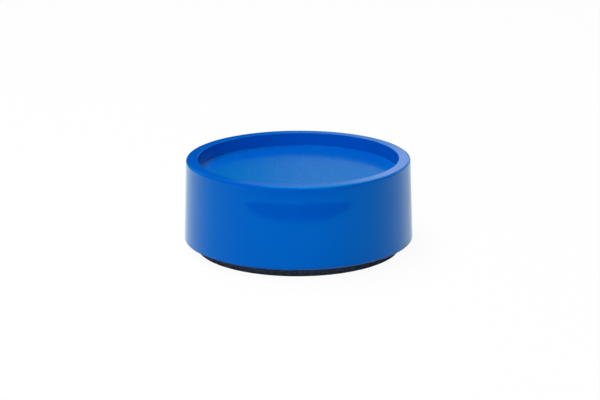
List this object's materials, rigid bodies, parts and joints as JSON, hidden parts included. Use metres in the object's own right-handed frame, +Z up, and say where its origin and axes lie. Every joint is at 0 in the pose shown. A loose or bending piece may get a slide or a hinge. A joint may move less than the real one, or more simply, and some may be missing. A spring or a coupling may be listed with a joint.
{
  "type": "hockey puck",
  "caption": "Round moulded puck with a drafted side, a shallow dished top and a felt glide pad underneath, weighted inside so that it slides over a dry floor.",
  "frame": {"origin": "middle of the glide pad's underside, on the floor", "axes": "+Z up through the puck's middle, from the pad to the dished top; +X and +Y lie in the floor and the puck looks the same along both"},
  "size_m": [0.0762, 0.0762, 0.0304],
  "materials": {
    "blue_plastic": "glossy injection moulding, with fine spark grain on the recess floor",
    "base_plastic": "plain dark moulding",
    "screw_steel": "bright zinc plate",
    "ballast_steel": "stamped mill finish",
    "liner_foam": "closed-cell foam",
    "tape_film": "adhesive film",
    "pad_felt": "dense needled felt"
  },
  "bodies": {
    "root": {"shell": "blue_plastic", "base_plate": "base_plastic", "base_screws": "screw_steel", "ballast_plate": "ballast_steel", "ballast_liner": "liner_foam", "pad_tape": "tape_film", "glide_pad": "pad_felt"}
  },
  "joints": []
}
